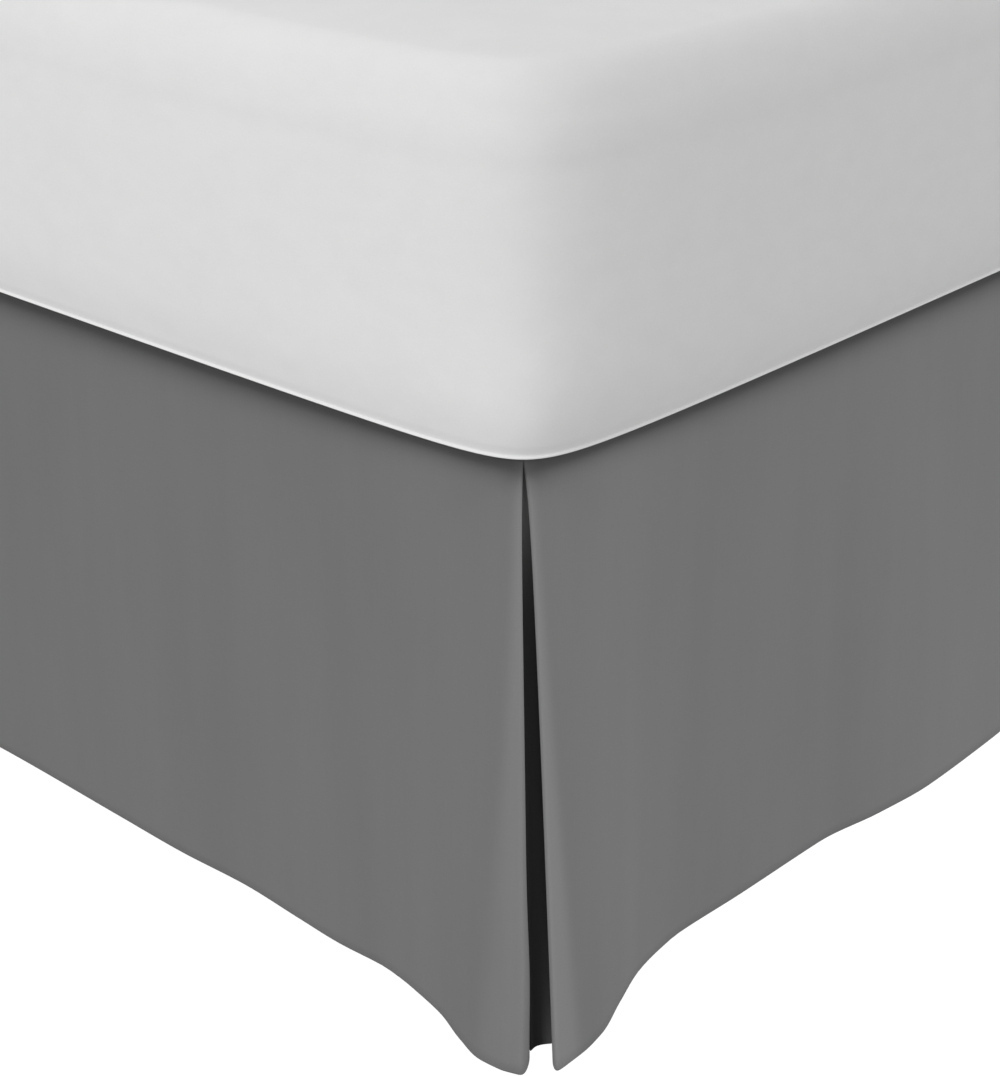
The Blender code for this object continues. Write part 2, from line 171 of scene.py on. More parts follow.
# The underlay's hem. across runs round the corner at the top edge, from the foot side to the
# long side, and x and y are from the corner of the mattress planes.
UNDERLAY_HEM = (  # across, x, y
    (-76, -80.0, 12.5), (-40, -44.0, 9.8), (-9, -11.0, 6.4), (-4, -3.0, 5.2),
    (-3.4, -2.0, 4.9), (-2.1, 1.4, 1.5), (-1.2, 1.0, 3.4), (-0.2, 0.5, 5.8), (0.8, 0.8, 8.2),
    (2.2, 2.4, 11.4), (4, 5.2, 15.0), (9, 7.4, 21.5), (16, 8.2, 30.0), (40, 2.6, 54.0),
    (76, -8.5, 88.0),
)
FIRST_COLUMN = 2.5 * MM  # a drop's face starts this far from the corner's diagonal
RETURN_END = 4.0 * MM  # and its folded-back end stops this far from it
RETURN_WIDTH = 76 * MM
# The columns of a cloth: their first step, their widest, and how each grows from the last.
FACE_STEPS = (1.2 * MM, 8.0 * MM, 1.06)
RETURN_STEPS = (1.2 * MM, 4.0 * MM, 1.15)
UNDERLAY_STEPS = (0.8 * MM, 4.0 * MM, 1.12)
MOST_COLUMNS = 600
LEAN_REACH = 0.120
DRAW_IN = 3.3 * MM  # how far a drop's top edge is drawn in, a little way from the corner
DRAW_IN_PLACE = 0.027
# How far the slit draws a drop back, in millimetres: in full at the hem, how much further
# high up, and how much less low down.
OPENING_FOOT = (2.0, 1.0, 1.1)
OPENING_SIDE = (4.3, 0.0, 0.0)
OPENING_REACH = 0.030
OPENING_POWER = 2.5
OPENING_HIGH_PLACE = 0.12  # share of the drop
OPENING_LOW_PLACE = 0.855
OPENING_LOW_WIDTH = 0.10
# The folded edge beside the slit grows deeper from the top edge to the hem: how far it runs on
# from the two cloths that it joins, in millimetres, at the top edge, at the hem behind and at
# the hem in front, how much further where it closes at the top, the power of its growth, the
# share of the way to the corner at which the face is left, and how sharp the corner is.
FOOT_FOLD = (1.6, 12.0, 9.5, 0.0, 1.0, 0.45, 3)
SIDE_FOLD = (2.1, 6.0, 14.0, 3.2, 1.5, 0.55, 2)
FOLD_CLOSING_REACH = 0.05  # share of the drop over which the closing fades
FACE_MOVE = 6.0 * MM  # how far the face's start moves off from the slit, at the hem
FACE_MOVE_REACH = 0.030
FOLD_STEPS = 26
ROWS = 56  # from a cloth's top edge to the start of its hem's fold
HEM_ROWS = 7  # round the hem's fold, and again up its inside
# Painted light and shade beside a slit: a painted highlight band, and painted shade around it.
CREST = 36  # the column where a drop turns back, in the middle of its fold
PAINTED_BAND_WIDTH = 7.5 * MM  # at the top edge
PAINTED_BAND_LIFT = 0.20
PAINTED_SHADE_WIDTH = 62 * MM
PAINTED_SHADE_LIFT = -0.17
# The painted highlight band's width at the hem, in metres, and its lift there.
FOOT_PAINTED_BAND = (0.027, 0.12)
SIDE_PAINTED_BAND = (0.016, 0.24)
# Painted light on the underlay in the slit: paler high up, and at the hem beside the long side.
TOP_LIFT = 9.0
TOP_LIFT_REACH = 0.140  # share of the drop
HEM_LIFT = 5.0
HEM_LIFT_PLACE = 7.5 * MM  # from the middle of the underlay
HEM_LIFT_WIDTH = 2.6 * MM
HEM_LIFT_REACH = 0.08  # share of the drop

# The camera, and where it looks: turned from the foot towards the long side, and down.
CAMERA_PLACE = (1.4863, -1.8286, 0.8314)
CAMERA_TURN = 42.09
CAMERA_TILT = 24.83
CAMERA_LENS = 79.996
SENSOR_WIDTH = 36.0
FLOOR_REACH = 9.0  # from its middle to each side
LAMP_DISTANCE = 3


# Settings


class ClothSettings(bpy.types.PropertyGroup):
    """Sizes and colours of the skirt's cloth."""

    thickness: FloatProperty(
        name="Cloth thickness", description="How thick the woven cloth is",
        default=0.0008, min=0.0004, max=0.002, precision=4, unit="LENGTH",
    )
    hem_depth: FloatProperty(
        name="Hem depth", description="How far the hem is turned up inside",
        default=0.025, min=0.005, max=0.08, unit="LENGTH",
    )
    thread: FloatProperty(
        name="Thread spacing", description="Distance between two threads of the weave",
        default=0.0006, min=0.0002, max=0.003, precision=4, unit="LENGTH",
    )
    skirt_colour: FloatVectorProperty(
        name="Skirt colour", description="Colour of the drops and the deck",
        default=(0.15, 0.15, 0.15), min=0.0, max=1.0, subtype="COLOR",
    )
    # Painted shade: the underlay is given a far darker colour than the skirt's cloth, for the
    # shade inside the slit.
    underlay_painted_shade_colour: FloatVectorProperty(
        name="Underlay colour", description="Colour of the cloth behind each slit",
        default=(0.05, 0.05, 0.05), min=0.0, max=1.0, subtype="COLOR",
    )


class BedSettings(bpy.types.PropertyGroup):
    """Sizes and colours of the mattress, base and legs."""

    mattress_height: FloatProperty(
        name="Mattress height", description="From the deck cloth to the top of the mattress",
        default=MATTRESS_HEIGHT, min=0.1, max=0.4, unit="LENGTH",
    )
    edge_bead: FloatProperty(
        name="Edge bead", description="Radius of the bead sewn round the mattress's lower edge",
        default=0.0009, min=0.0005, max=0.004, precision=4, unit="LENGTH",
    )
    mattress_colour: FloatVectorProperty(
        name="Mattress cover colour", description="Colour of the stretched cover",
        default=(0.60, 0.60, 0.60), min=0.0, max=1.0, subtype="COLOR",
    )
    # Painted shade: the underside is made near-black, for the shade beneath the mattress's edge.
    underside_painted_shade_colour: FloatVectorProperty(
        name="Underside colour", description="Colour of the non-slip cloth under the mattress",
        default=(0.03, 0.03, 0.03), min=0.0, max=1.0, subtype="COLOR",
    )
    base_colour: FloatVectorProperty(
        name="Base cloth colour", description="Colour of the cloth on the bed base",
        default=(0.46, 0.44, 0.40), min=0.0, max=1.0, subtype="COLOR",
    )
    leg_colour: FloatVectorProperty(
        name="Leg colour", description="Colour of the stained legs",
        default=(0.09, 0.05, 0.03), min=0.0, max=1.0, subtype="COLOR",
    )


class StageSettings(bpy.types.PropertyGroup):
    """The studio's light."""

    dome: FloatProperty(
        name="Dome light", description="Brightness of the light from all round",
        default=0.92, min=0.0, max=5.0,
    )
    floor_glow: FloatProperty(
        name="Floor glow",
        description="Brightness of the light that the floor sends up onto the bed",
        default=0.58, min=0.0, max=2.0,
    )
    key: FloatProperty(
        name="Key light", description="Strength of the soft light on the foot of the mattress",
        default=1.23, min=0.0, max=20.0,
    )
    skirt_light: FloatProperty(
        name="Skirt light",
        description="Strength of the soft light on the skirt from above its corner",
        default=2.98, min=0.0, max=20.0,
    )


class BedSkirtSettings(bpy.types.PropertyGroup):
    """All the settings of the bed skirt."""

    cloth: PointerProperty(type=ClothSettings)
    bed: PointerProperty(type=BedSettings)
    stage: PointerProperty(type=StageSettings)


# Materials


class Shade:
    """A socket in a node tree. Sums and products of it add Math nodes."""

    def __init__(self, tree, socket=None):
        self.tree = tree
        self.socket = socket

    def node(self, kind, settings=None, inputs=None, output=0):
        """Adds a node: its settings first, then its sockets' values or links. Gives one output."""
        node = self.tree.nodes.new("ShaderNode" + kind)
        for name, value in (settings or {}).items():
            setattr(node, name, value)
        for place, value in (inputs or {}).items():
            if isinstance(value, Shade):
                self.tree.links.new(value.socket, node.inputs[place])
            else:
                node.inputs[place].default_value = value
        return Shade(self.tree, node.outputs[output])

    def maths(self, operation, first, second):
        return self.node("Math", {"operation": operation}, {0: first, 1: second})

    def __add__(self, other):
        return self.maths("ADD", self, other)

    def __radd__(self, other):
        return self.maths("ADD", other, self)

    def __sub__(self, other):
        return self.maths("SUBTRACT", self, other)

    def __rsub__(self, other):
        return self.maths("SUBTRACT", other, self)

    def __mul__(self, other):
        return self.maths("MULTIPLY", self, other)

    def __rmul__(self, other):
        return self.maths("MULTIPLY", other, self)

    def between(self, low, high):
        """0 where this value is under low, 1 over high, and a smooth step between."""
        inputs = {"Value": self, "From Min": low, "From Max": high}
        return self.node("MapRange", {"interpolation_type": "SMOOTHSTEP"}, inputs)

    def blend(self, low, high):
        """The colour low where this value is 0, and high where it is 1."""
        return self.node("Mix", {"data_type": "RGBA"}, {0: self, 6: low, 7: high}, output=2)

    def times(self, factor):
        """This colour, each of its parts multiplied by factor."""
        return self.node("VectorMath", {"operation": "SCALE"}, {0: self, "Scale": factor})

    def height(self):
        """The Z of these coordinates."""
        return self.node("SeparateXYZ", None, {"Vector": self}, output=2)

    def noise(self, size, detail=2.0, stretch=(1.0, 1.0, 1.0)):
        """Smooth noise whose grains have this size, in metres, drawn out by stretch."""
        scale = tuple(1.0 / (size * times) for times in stretch)
        places = self.node("Mapping", None, {"Vector": self, "Scale": scale})
        return self.node("TexNoise", None, {"Vector": places, "Scale": 1.0, "Detail": detail})


def tint(colour, times):
    """The colour made lighter or darker, with alpha 1."""
    return (*(min(part * times, 1.0) for part in colour), 1.0)


def new_material(name, specular=0.5):
    """A material with a plain Principled shader, as (material, a Shade of its tree, shader)."""
    material = bpy.data.materials.new(name)
    material.use_nodes = True
    tree = material.node_tree
    shader = tree.nodes["Principled BSDF"]
    shader.inputs["Specular IOR Level"].default_value = specular
    return material, Shade(tree), shader


def object_places(start):
    """The object's own coordinates."""
    return start.node("TexCoord", None, None, output=3)


def link(value, shader, name):
    """Feeds a value into one of the shader's inputs."""
    value.tree.links.new(value.socket, shader.inputs[name])


def only_seen(start, unseen):
    """1 to the camera, and unseen for the light that it sends on."""
    seen = start.node("LightPath", None, None, output=0)
    return seen * (1.0 - unseen) + unseen


def raise_bumps(height, shader, strength, depth):
    """Turns a height from 0 to 1 into bumps of this depth, in metres."""
    inputs = {"Strength": strength, "Distance": depth, "Height": height}
    link(height.node("Bump", None, inputs), shader, "Normal")


def woven_cloth(name, colour, thread):
    """Plain-woven cloth. Slubby warp and weft threads are noise drawn out along and across the
    cloth's own map, and soft streaks and clouds shade it like brushed yarn. The mesh's own
    attribute of painted light and shade makes it paler or darker: a painted highlight along a
    slit's fold, painted shade around it, and painted light on the underlay in the slit."""
    material, start, shader = new_material(name, specular=0.2)
    places = start.node("UVMap", {"uv_map": CLOTH_MAP})
    warp = places.noise(thread, 1.0, (1.0, 26.0, 1.0))
    weft = places.noise(thread, 1.0, (26.0, 1.0, 1.0))
    streaks = places.noise(0.020, 3.0, (1.0, 14.0, 1.0))
    clouds = places.noise(0.110, 2.0, (1.0, 1.8, 1.0))
    threads = (warp + weft) * 0.5
    shade = threads * 0.35 + streaks * 0.30 + clouds * 0.35
    colours = shade.between(0.30, 0.70).blend(tint(colour, 0.965), tint(colour, 1.035))
    # Painted light and shade: the attribute makes the colour paler beside each slit's fold and in
    # the slit, and darker around the fold.
    lift = start.node("Attribute", {"attribute_name": PAINTED_LIGHT_ATTRIBUTE}, output=2)
    link(colours.times(lift + 1), shader, "Base Color")
    link(0.88 - threads * 0.10, shader, "Roughness")
    shader.inputs["Sheen Weight"].default_value = 0.05
    shader.inputs["Sheen Roughness"].default_value = 0.5
    raise_bumps(threads + streaks * 0.5, shader, strength=0.25, depth=0.0002)
    return material


def mattress_cover(name, colour):
    """A stretched cotton cover: fine knit grain, a mottle of finger-wide clouds, and a painted
    highlight on the bead round the lower edge."""
    material, start, shader = new_material(name, specular=0.25)
    places = object_places(start)
    grain = places.noise(0.0012, 1.0, (1.0, 1.0, 1.0))
    mottle = places.noise(0.012, 3.0, (1.6, 1.6, 1.0))
    clouds = places.noise(0.16, 2.0)
    shade = grain * 0.25 + mottle * 0.40 + clouds * 0.35
    colours = shade.between(0.30, 0.70).blend(tint(colour, 0.98), tint(colour, 1.02))
    low, high = BEAD_HIGHLIGHT_HEIGHTS
    # Painted highlight: the bead is made paler than the cover, a line of light along the lower
    # edge.
    bead = 1 - places.height().between(DROP + low, DROP + high)
    link(bead.blend(colours, tint(colour, 1.15)), shader, "Base Color")
    link(0.86 - grain * 0.10, shader, "Roughness")
    raise_bumps(grain + mottle, shader, strength=0.20, depth=0.0003)
    return material


def painted_shade_underside(name, colour):
    """The mattress's underside, near-black as painted shade beneath its edge: a felt of short
    fibres with clouds in its colour.
    """
    material, start, shader = new_material(name, specular=0.1)
    places = object_places(start)
    fibres = places.noise(0.0011, 2.0, (3.0, 1.0, 1.0)) * 0.6 + places.noise(0.05) * 0.4
    colours = fibres.between(0.35, 0.65).blend(tint(colour, 0.85), tint(colour, 1.2))
    link(colours, shader, "Base Color")
    link(0.95 - fibres * 0.10, shader, "Roughness")
    raise_bumps(fibres, shader, strength=0.3, depth=0.0004)
    return material


def base_cloth(name, colour):
    """The base's ticking: a close weave on the object's own coordinates, a little darker low down.
    """
    material, start, shader = new_material(name, specular=0.2)
    places = object_places(start)
    across = places.noise(0.0009, 1.0, (12.0, 12.0, 1.0))
    upright = places.noise(0.0009, 1.0, (1.0, 1.0, 12.0))
    clouds = places.noise(0.09, 3.0)
    shade = (across + upright) * 0.3 + clouds * 0.4
    colours = shade.between(0.30, 0.70).blend(tint(colour, 0.93), tint(colour, 1.06))
    # Darker towards the bottom of the base.
    paler_above_bottom = places.height().between(BASE_BOTTOM - 0.01, BASE_BOTTOM + 0.05) * 0.8 + 0.2
    link(paler_above_bottom.blend(tint(colour, 0.82), colours), shader, "Base Color")
    link(0.92 - upright * 0.08, shader, "Roughness")
    raise_bumps(across + upright, shader, strength=0.3, depth=0.0003)
    return material


def stained_wood(name, colour):
    """Satin stained hardwood: long grain up the leg, pores, and wear to paler wood at the foot."""
    material, start, shader = new_material(name)
    places = object_places(start)
    grain = places.noise(0.004, 4.0, (1.0, 1.0, 22.0))
    pores = places.noise(0.0009, 1.0, (1.0, 1.0, 30.0)).between(0.60, 0.72)
    colours = grain.between(0.35, 0.68).blend(tint(colour, 0.7), tint(colour, 1.7))
    pored = (pores * 0.7).blend(colours, tint(colour, 0.4))
    scuffs = places.noise(0.006, 3.0).between(0.52, 0.62)
    worn = (1 - places.height().between(0.004, 0.020)) * scuffs * 0.6
    link(worn.blend(pored, tint(colour, 3.2)), shader, "Base Color")
    link(grain * 0.25 + 0.33 + worn * 0.3, shader, "Roughness")
    raise_bumps(1 - pores, shader, strength=0.25, depth=0.0003)
    return material


# Surfaces


def surface(name, points, map_places=None, wrap=False):
    """A mesh of quads over a grid of points (rows, columns, xyz). wrap joins the last column to
    the first. map_places are the (columns) and (rows) coordinates of its cloth map, in metres."""
    rows, columns = points.shape[:2]
    index = np.arange(rows * columns).reshape(rows, columns)
    if wrap:
        index = np.concatenate([index, index[:, :1]], axis=1)
    corners = [index[:-1, :-1], index[:-1, 1:], index[1:, 1:], index[1:, :-1]]
    faces = np.stack(corners, axis=-1).reshape(-1, 4)
    mesh = bpy.data.meshes.new(name)
    mesh.from_pydata(points.reshape(-1, 3).tolist(), [], faces.tolist())
    if map_places is not None:
        along, down = np.meshgrid(*map_places)
        spots = np.stack([along, -down], axis=-1).reshape(-1, 2)[faces.ravel()]
        layer = mesh.uv_layers.new(name=CLOTH_MAP)
        layer.uv.foreach_set("vector", spots.astype(np.float32).ravel())
    mesh.shade_smooth()
    return mesh


def add_piece(context, mesh, material, nodes):
    """Links a finished piece at the origin, on the root body, in place of its solids."""
    piece = bpy.data.objects.new(mesh.name, mesh)
    mesh.materials.append(material)
    context.scene.collection.objects.link(piece)
    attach(piece, "root")
    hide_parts(*nodes)
    return piece


def thicken(piece, thickness):
    """Gives a sheet its thickness, half to each side."""
    modifier = piece.modifiers.new("Cloth thickness", "SOLIDIFY")
    modifier.thickness = thickness
    modifier.offset = 0.0


def growing(start, end, first, most, growth):
    """Places from start to end, whose steps grow from first by growth each time, up to most."""
    steps = np.minimum(first * growth ** np.arange(MOST_COLUMNS), most)
    places = start + np.concatenate([[0.0], np.cumsum(steps)])
    return np.append(places[places < end - most / 2], end)


# Plan lines of the cloth, as arrays of x, y in the frame of the right foot corner: the origin
# is where the mattress planes meet, the long side faces +X and the foot faces -Y. down is the
# share of the drop, a column of values, and each line comes out as (rows, columns, xy).


def smooth_curve(rows, column, at):
    """A cubic through the rows' first and given columns, level at each crest and hollow: between
    two rows the value is the Hermite blend of their values and slopes, and an inner slope is
    the harmonic mean of its two sides'."""
    table = np.array(rows, float)
    x, y = table[:, 0], table[:, column]
    slope = np.diff(y) / np.diff(x)
    before, after = slope[:-1], slope[1:]
    same_way = before * after > 0
    total = np.where(same_way, before + after, 1.0)
    inner = np.where(same_way, 2 * before * after / total, 0.0)
    tangent = np.concatenate([slope[:1], inner, slope[-1:]])
    i = np.clip(np.searchsorted(x, at) - 1, 0, len(x) - 2)
    step = x[i + 1] - x[i]
    t = (at - x[i]) / step
    start = (1 + 2 * t) * (1 - t) ** 2 * y[i] + t * (1 - t) ** 2 * step * tangent[i]
    end = t**2 * (3 - 2 * t) * y[i + 1] - t**2 * (1 - t) * step * tangent[i + 1]
    return start + end


def rounded_line(across, offset, radius):
    """Along and out of a line round a corner: a straight, then an arc of radius up to the
    diagonal, where across is the length from the diagonal."""
    turn = np.maximum(math.pi / 4 - across / radius, 0.0)
    straight = np.maximum(across - radius * math.pi / 4, 0.0)
    along = offset + radius * (1 - np.sin(turn)) + straight
    out = -offset - radius * (1 - np.cos(turn))
    return along, out


def drawn_in(across):
    """How far in a drop's top edge lies behind the rounded line: most at one place, and none at
    the corner or far from it, as q exp(1 - q) for q = (across / place)^2."""
    square = (across / DRAW_IN_PLACE) ** 2
    return DRAW_IN * square * np.exp(1 - square)


def lean(across, hem_start):
    """Where a drop's threads reach the hem: across moved towards the pleat, and less further
    away, as exp(-across / reach)."""
    arc = DROP_OFFSET + DROP_RADIUS * (1 - math.pi / 4)
    shift = FIRST_COLUMN + arc - hem_start
    return across + arc - shift * np.exp(-(across - FIRST_COLUMN) / LEAN_REACH)


def hem_out(rows, along):
    """How far out a drop's middle surface lies at the hem."""
    return smooth_curve(rows, 1, along / MM) * MM - SOLID_SHEET / 2


def flare(down):
    """Share of the way from the top edge's line to the hem's: a power of down."""
    return (down**FLARE_POWER)[..., None]


def drawn_back(across, opening, down):
    """How far the slit draws the cloth back, along each of X and Y: most at the slit, as
    exp(-across / reach), times 1 - (1 - down)^power for the hem's part of the opening,
    q exp(1 - q) for the high one, for q = down / place, and exp(-((down - place) / width)^2)
    for the low one, which closes it."""
    at_hem, high, low = opening
    place = down / OPENING_HIGH_PLACE
    amount = at_hem * (1 - (1 - down) ** OPENING_POWER) + high * place * np.exp(1 - place)
    amount = amount - low * np.exp(-(((down - OPENING_LOW_PLACE) / OPENING_LOW_WIDTH) ** 2))
    return amount * MM * np.exp(-across / OPENING_REACH) / math.sqrt(2)


def side_line(folds, across, down):
    """The face of a long side's drop, from the pleat to the head."""
    rows = SIDE_CORNER_HEM + folds
    top_along, top_out = rounded_line(across, DROP_OFFSET, DROP_RADIUS)
    hem_along = lean(across, SIDE_CORNER_HEM[0][0] * MM)
    top = np.stack([top_out - drawn_in(across), top_along], axis=-1)
    hem = np.stack([hem_out(rows, hem_along), hem_along], axis=-1)
    back = drawn_back(across, OPENING_SIDE, down)
    return top + (hem - top) * flare(down) + np.stack([back, back], axis=-1)


def foot_rows():
    """The foot hem's rows from the right corner to the left one, which mirrors it."""
    width = WIDTH / MM
    far = tuple((width - along, out) for along, out in reversed(FOOT_CORNER_HEM))
    return FOOT_CORNER_HEM + FOOT_FOLDS + far


def foot_length():
    """The foot drop's top edge, from diagonal to diagonal."""
    arc = DROP_RADIUS * math.pi / 4
    return 2 * arc + WIDTH - 2 * (DROP_OFFSET + DROP_RADIUS)


def foot_line(across, down):
    """The face of the foot drop, from the right pleat to the left one."""
    length = foot_length()
    right = across <= length / 2
    near = np.where(right, across, length - across)
    top_along, top_out = rounded_line(near, DROP_OFFSET, DROP_RADIUS)
    hem_along = lean(near, FOOT_CORNER_HEM[0][0] * MM)
    top_along = np.where(right, top_along, WIDTH - top_along)
    hem_along = np.where(right, hem_along, WIDTH - hem_along)
    top = np.stack([-top_along, drawn_in(near) - top_out], axis=-1)
    hem = np.stack([-hem_along, -hem_out(foot_rows(), hem_along)], axis=-1)
    back = drawn_back(near, OPENING_FOOT, down)
    shift = np.stack([np.where(right, -back, back), -back], axis=-1)
    return top + (hem - top) * flare(down) + shift


def underlay_line(across, down):
    """The underlay round the corner, from its foot side (across under 0) to its long side."""
    along, out = rounded_line(np.abs(across), UNDERLAY_OFFSET, UNDERLAY_RADIUS)
    foot_side = across < 0
    top = np.column_stack([np.where(foot_side, -along, out), np.where(foot_side, -out, along)])
    hem_x = smooth_curve(UNDERLAY_HEM, 1, across / MM) * MM
    hem_y = smooth_curve(UNDERLAY_HEM, 2, across / MM) * MM
    return top + (np.column_stack([hem_x, hem_y]) - top) * flare(down)


def run_of(line):
    """The unit direction of a line at each of its points."""
    run = np.gradient(line, axis=1)
    return run / np.linalg.norm(run, axis=-1, keepdims=True)


def return_line(side, down):
    """A drop's folded-back end, on the front of the underlay, from its sewn edge to the slit."""
    across = growing(RETURN_END, RETURN_WIDTH, *RETURN_STEPS)[::-1] * side
    line = underlay_line(across, down)
    run = run_of(line) * -side
    outward = np.stack([run[..., 1], -run[..., 0]], axis=-1)
    opening = OPENING_FOOT if side < 0 else OPENING_SIDE
    back = drawn_back(np.abs(across), opening, down)[..., None] * side
    return line + outward * (SOLID_SHEET + SEAT) + back


def folded_edge(flat, face, down, fold):
    """A Bezier curve from the folded-back end round to the start of the face: the sum of its
    points, each times comb(n, k) (1 - t)^(n - k) t^k. Its handles run on from the lines that it
    joins, further towards the hem, and two or more middle points lie together at the corner in
    front, so the fold is fuller there."""
    top, hem_back, hem_face, closing, power, level, sharpness = fold
    closed = top + closing * np.exp(-down / FOLD_CLOSING_REACH)
    pull_back = (closed + (hem_back - top) * down**power)[..., None] * MM
    pull_face = (closed + (hem_face - top) * down**power)[..., None] * MM
    start, end = flat[:, -1:], face[:, :1]
    after_start = start + pull_back * run_of(flat)[:, -1:]
    corner = end - pull_face * run_of(face)[:, :1]
    before_end = end + (corner - end) * level
    points = (start, after_start, *[corner] * sharpness, before_end, end)
    n = len(points) - 1
    t = (1 - np.cos(np.pi * np.arange(1, FOLD_STEPS) / FOLD_STEPS)) / 2
    t = t[None, :, None]
    return sum(math.comb(n, k) * (1 - t) ** (n - k) * t**k * p for k, p in enumerate(points))


def mirrored(line):
    """The same line at the left foot corner, in the right corner's frame."""
    return line * (-1, 1) - (WIDTH, 0)


def face_columns(end, down):
    """Places of a face's columns from the slit on: close there, wider further away, and moved
    off from the slit by an amount that fades as exp(-place / reach)."""
    across = growing(FIRST_COLUMN, end, *FACE_STEPS)
    return across + FACE_MOVE * down * np.exp(-(across - FIRST_COLUMN) / FACE_MOVE_REACH)


def foot_drop_line(down):
    """The whole foot drop: folded-back end, fold, face, fold and folded-back end."""
    half = face_columns(foot_length() / 2, down)
    across = np.concatenate([half, foot_length() - half[:, -2::-1]], axis=1)
    face = foot_line(across, down)
    flat = return_line(-1, down)
    far = mirrored(flat)
    left = np.concatenate([far, folded_edge(far, face[:, ::-1], down, FOOT_FOLD)], axis=1)
    right = np.concatenate([flat, folded_edge(flat, face, down, FOOT_FOLD), face], axis=1)
    return np.concatenate([right, left[:, ::-1]], axis=1)


def side_drop_line(folds, down):
    """A whole long side's drop: folded-back end, fold, and face as far as the head."""
    end = LENGTH - HEAD_STOP - DROP_OFFSET - DROP_RADIUS * (1 - math.pi / 4)
    face = side_line(folds, face_columns(end, down), down)
    flat = return_line(1, down)
    return np.concatenate([flat, folded_edge(flat, face, down, SIDE_FOLD), face], axis=1)


def right_drop_line(down):
    return side_drop_line(RIGHT_FOLDS, down)


def left_drop_line(down):
    return mirrored(side_drop_line(LEFT_FOLDS, down))


def right_pleat_line(down):
    """A whole underlay, from its sewn edge on the foot side to the one on the long side."""
    half = growing(0.0, RETURN_WIDTH, *UNDERLAY_STEPS)
    return underlay_line(np.concatenate([-half[:0:-1], half]), down)


def left_pleat_line(down):
    return mirrored(right_pleat_line(down))


def hanging_profile(hem_depth, turn):
    """The cloth's course from its top edge down to the hem and up again inside: its height, the
    share of the drop, and how far in it lies. The fold is a half circle of radius turn."""
    drop = CLOTH_TOP - HEM_HEIGHT
    angle = np.linspace(0, math.pi, HEM_ROWS)[1:]
    front = np.linspace(CLOTH_TOP + SEAT, HEM_HEIGHT + turn, ROWS)
    fold = HEM_HEIGHT + turn * (1 - np.sin(angle))
    inside = np.linspace(HEM_HEIGHT + turn, HEM_HEIGHT + hem_depth, HEM_ROWS)[1:]
    height = np.concatenate([front, fold, inside])
    inset = np.concatenate([0 * front, turn * (1 - np.cos(angle)), 0 * inside + 2 * turn])
    down = np.clip((CLOTH_TOP - height) / drop, 0.0, 1.0)
    return height[:, None], down[:, None], inset[:, None]


def painted_light_beside_fold(away, down, hem_width, hem_lift):
    """How much paler (over 0) or darker the cloth is painted beside a fold: a painted highlight
    band with firm edges, exp(-(away / width)^4), and a wide painted shade, exp(-(away / width)^2),
    that deepens as the square root of down. The band goes from its top width and lift to those
    at the hem as down^2 and down."""
    width = PAINTED_BAND_WIDTH + (hem_width - PAINTED_BAND_WIDTH) * down**2
    lift = PAINTED_BAND_LIFT + (hem_lift - PAINTED_BAND_LIFT) * down
    # The wide painted shade around the fold.
    hollow = PAINTED_SHADE_LIFT * np.sqrt(down) * np.exp(-((away / PAINTED_SHADE_WIDTH) ** 2))
    return lift * np.exp(-((away / width) ** 4)) + hollow


def painted_light_beside_folds(crests):
    """The painted light and shade of a drop as a function of along and down. Each of crests is a
    column where it turns back, with its painted highlight band at the hem."""

    def painted_light_at(along, down):
        folds = (
            painted_light_beside_fold(np.abs(along - along[crest]), down, *band) for crest, band in crests
        )
        return sum(folds)

    return painted_light_at


def painted_light_in_slit(along, down):
    """How much paler the underlay is painted, as painted light in the slit: exp(-(down / reach)^2)
    high up, and at the hem exp(-((across - place) / width)^2) times exp(-(1 - down) / reach)."""
    across = along - along[-1] / 2
    beside = np.exp(-(((across - HEM_LIFT_PLACE) / HEM_LIFT_WIDTH) ** 2))
    low = HEM_LIFT * beside * np.exp((down - 1) / HEM_LIFT_REACH)
    return TOP_LIFT * np.exp(-((down / TOP_LIFT_REACH) ** 2)) + low


def hanging_cloth(name, line_at, inside, hem_depth, turn, painted_light_at):
    """A hanging cloth's mesh: its plan line at each height, moved in by the profile's inset along
    the line's own side. Its map runs along the mean length of the lines, and its last argument
    gives how much paler or darker it is painted there, as painted light and shade."""
    height, down, inset = hanging_profile(hem_depth, turn)
    line = line_at(down)
    run = run_of(line) * inside
    inward = np.stack([-run[..., 1], run[..., 0]], axis=-1)
    plan = line + inward * inset[..., None] + (WIDTH / 2, SHIFT_Y - LENGTH / 2)
    points = np.concatenate([plan, np.broadcast_to(height, plan.shape[:2])[..., None]], axis=-1)
    along = np.linalg.norm(np.diff(plan, axis=1), axis=-1).mean(axis=0)
    step = np.hypot(np.diff(height[:, 0]), np.diff(inset[:, 0]))
    places = [np.concatenate([[0.0], np.cumsum(part)]) for part in (along, step)]
    mesh = surface(name, points, places)
    # Painted light and shade, kept on the mesh's points.
    attribute = mesh.attributes.new(PAINTED_LIGHT_ATTRIBUTE, "FLOAT", "POINT")
    attribute.data.foreach_set("value", painted_light_at(places[0], down).astype(np.float32).ravel())
    return mesh, places


def hang(context, material, hem_depth, rows):
    """Adds hanging cloths as thin sheets with their hems turned up inside. Each row gives a
    name, the node that it stands for, its line, its inner side and its painted light and shade."""
    thickness = context.scene.bed_skirt.cloth.thickness
    for name, node, line_at, inside, painted_light_at in rows:
        turn = HEM_TURN * thickness
        mesh, places = hanging_cloth(name, line_at, inside, hem_depth, turn, painted_light_at)
        piece = add_piece(context, mesh, material, [node])
        thicken(piece, thickness)


# Closed bodies: a profile carried round an outline.


